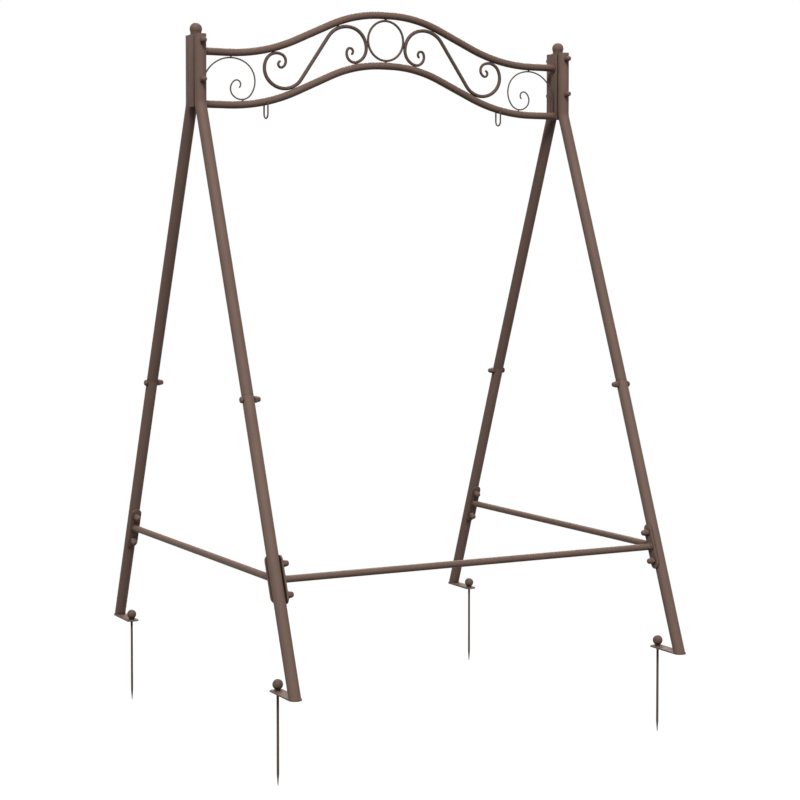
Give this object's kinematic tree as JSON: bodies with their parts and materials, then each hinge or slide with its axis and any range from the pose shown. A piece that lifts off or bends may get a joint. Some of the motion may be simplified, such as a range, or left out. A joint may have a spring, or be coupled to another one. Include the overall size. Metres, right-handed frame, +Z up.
{
  "type": "swing stand",
  "caption": "Free-standing steel garden swing stand: A-shaped ends, an arched double header with scrollwork, chain hooks, low braces and ground stakes.",
  "frame": {"origin": "on the ground plane, midway between the four feet; the undersides of the foot plates lie at z = 0 and the stakes reach below it", "axes": "+X along the header to the right seen from the front, +Y to the back, +Z up"},
  "size_m": [1.4466, 1.541, 2.4169],
  "materials": {
    "frame_coat": "satin powder coat, fine grain",
    "ironwork_coat": "satin powder coat, fine grain",
    "fastener_coat": "satin paint over plated steel",
    "stake_coat": "satin powder coat"
  },
  "bodies": {
    "frame": {"header_post_left": "frame_coat", "header_post_right": "frame_coat", "finial_left": "frame_coat", "finial_right": "frame_coat", "upper_leg_front_left": "frame_coat", "upper_leg_front_right": "frame_coat", "upper_leg_back_left": "frame_coat", "upper_leg_back_right": "frame_coat", "lower_leg_front_left": "frame_coat", "lower_leg_front_right": "frame_coat", "lower_leg_back_left": "frame_coat", "lower_leg_back_right": "frame_coat", "foot_plate_front_left": "frame_coat", "foot_plate_front_right": "frame_coat", "foot_plate_back_left": "frame_coat", "foot_plate_back_right": "frame_coat", "side_bar_left": "frame_coat", "side_bar_right": "frame_coat", "front_bar": "frame_coat", "side_brace_front_left_plate": "frame_coat", "side_brace_front_right_plate": "frame_coat", "side_brace_back_left_plate": "frame_coat", "side_brace_back_right_plate": "frame_coat", "front_brace_front_left_plate": "frame_coat", "front_brace_front_right_plate": "frame_coat", "header_tube_upper": "ironwork_coat", "header_tube_lower": "ironwork_coat", "centre_ring": "ironwork_coat", "scroll_left": "ironwork_coat", "scroll_right": "ironwork_coat", "corner_scroll_left": "ironwork_coat", "corner_scroll_right": "ironwork_coat", "swing_hook_left": "ironwork_coat", "swing_hook_right": "ironwork_coat", "post_bolt_top_left": "fastener_coat", "post_bolt_top_right": "fastener_coat", "post_bolt_bottom_left": "fastener_coat", "post_bolt_bottom_right": "fastener_coat", "joint_bolt_front_left": "fastener_coat", "joint_bolt_front_right": "fastener_coat", "joint_bolt_back_left": "fastener_coat", "joint_bolt_back_right": "fastener_coat", "side_brace_front_left_screw_upper": "fastener_coat", "side_brace_front_left_screw_lower": "fastener_coat", "side_brace_front_right_screw_upper": "fastener_coat", "side_brace_front_right_screw_lower": "fastener_coat", "side_brace_back_left_screw_upper": "fastener_coat", "side_brace_back_left_screw_lower": "fastener_coat", "side_brace_back_right_screw_upper": "fastener_coat", "side_brace_back_right_screw_lower": "fastener_coat", "front_brace_front_left_screw_upper": "fastener_coat", "front_brace_front_left_screw_lower": "fastener_coat", "front_brace_front_right_screw_upper": "fastener_coat", "front_brace_front_right_screw_lower": "fastener_coat"},
    "stake_front_left": {"ground_stake_front_left": "stake_coat"},
    "stake_front_right": {"ground_stake_front_right": "stake_coat"},
    "stake_back_left": {"ground_stake_back_left": "stake_coat"},
    "stake_back_right": {"ground_stake_back_right": "stake_coat"}
  },
  "joints": [
    {"name": "pull_stake_front_left", "type": "slide", "parent": "frame", "child": "stake_front_left", "axis": [0, 0, 1], "range_m": [0, 0.18]},
    {"name": "pull_stake_front_right", "type": "slide", "parent": "frame", "child": "stake_front_right", "axis": [0, 0, 1], "range_m": [0, 0.18]},
    {"name": "pull_stake_back_left", "type": "slide", "parent": "frame", "child": "stake_back_left", "axis": [0, 0, 1], "range_m": [0, 0.18]},
    {"name": "pull_stake_back_right", "type": "slide", "parent": "frame", "child": "stake_back_right", "axis": [0, 0, 1], "range_m": [0, 0.18]}
  ]
}
